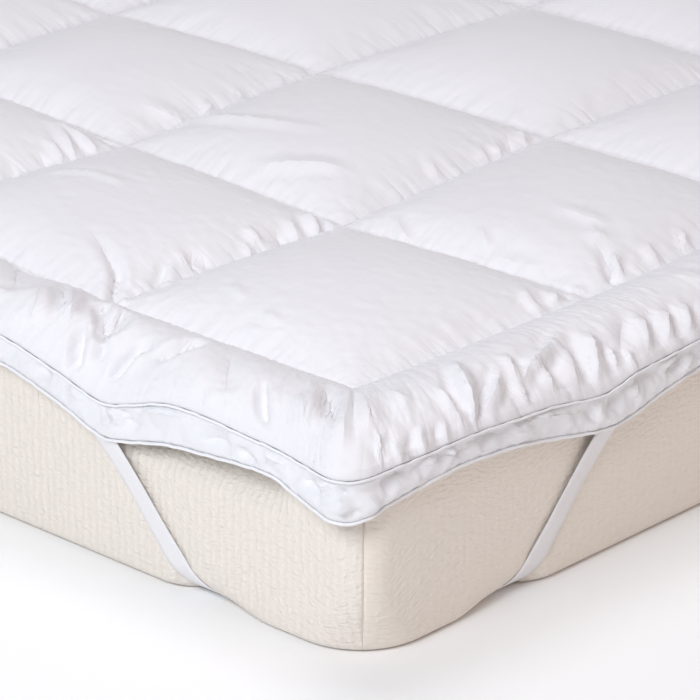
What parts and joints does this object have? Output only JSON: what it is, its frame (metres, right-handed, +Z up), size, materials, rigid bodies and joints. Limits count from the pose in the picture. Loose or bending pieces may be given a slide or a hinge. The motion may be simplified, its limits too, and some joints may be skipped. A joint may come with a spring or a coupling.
{
  "type": "mattress topper on a mattress",
  "caption": "Box-quilted, softly filled mattress topper with a padded border, piped gusset and elastic corner straps, lying on a plain foam mattress.",
  "frame": {"origin": "centre of the mattress's flat underside", "axes": "+Z up, +X across the bed, +Y along the bed; the front left corner (-X, -Y) is the one that shows in the picture"},
  "size_m": [1.4385, 2.0301, 0.2167],
  "materials": {
    "mattress_cover": "cream knitted stretch cover, matt, small raised bumps",
    "quilted_cloth": "smooth close-woven white microfibre, soft sheen",
    "gusset_cloth": "the same white cloth, single layer, slightly wrinkled",
    "piping": "thin cord covered in white cloth",
    "elastic": "flat woven white elastic, matt"
  },
  "bodies": {
    "root": {"mattress": "mattress_cover", "topper_body": "quilted_cloth", "gusset": "gusset_cloth", "piping_upper": "piping", "piping_lower": "piping", "strap_front_left": "elastic", "strap_front_right": "elastic", "strap_back_right": "elastic", "strap_back_left": "elastic"}
  },
  "joints": []
}
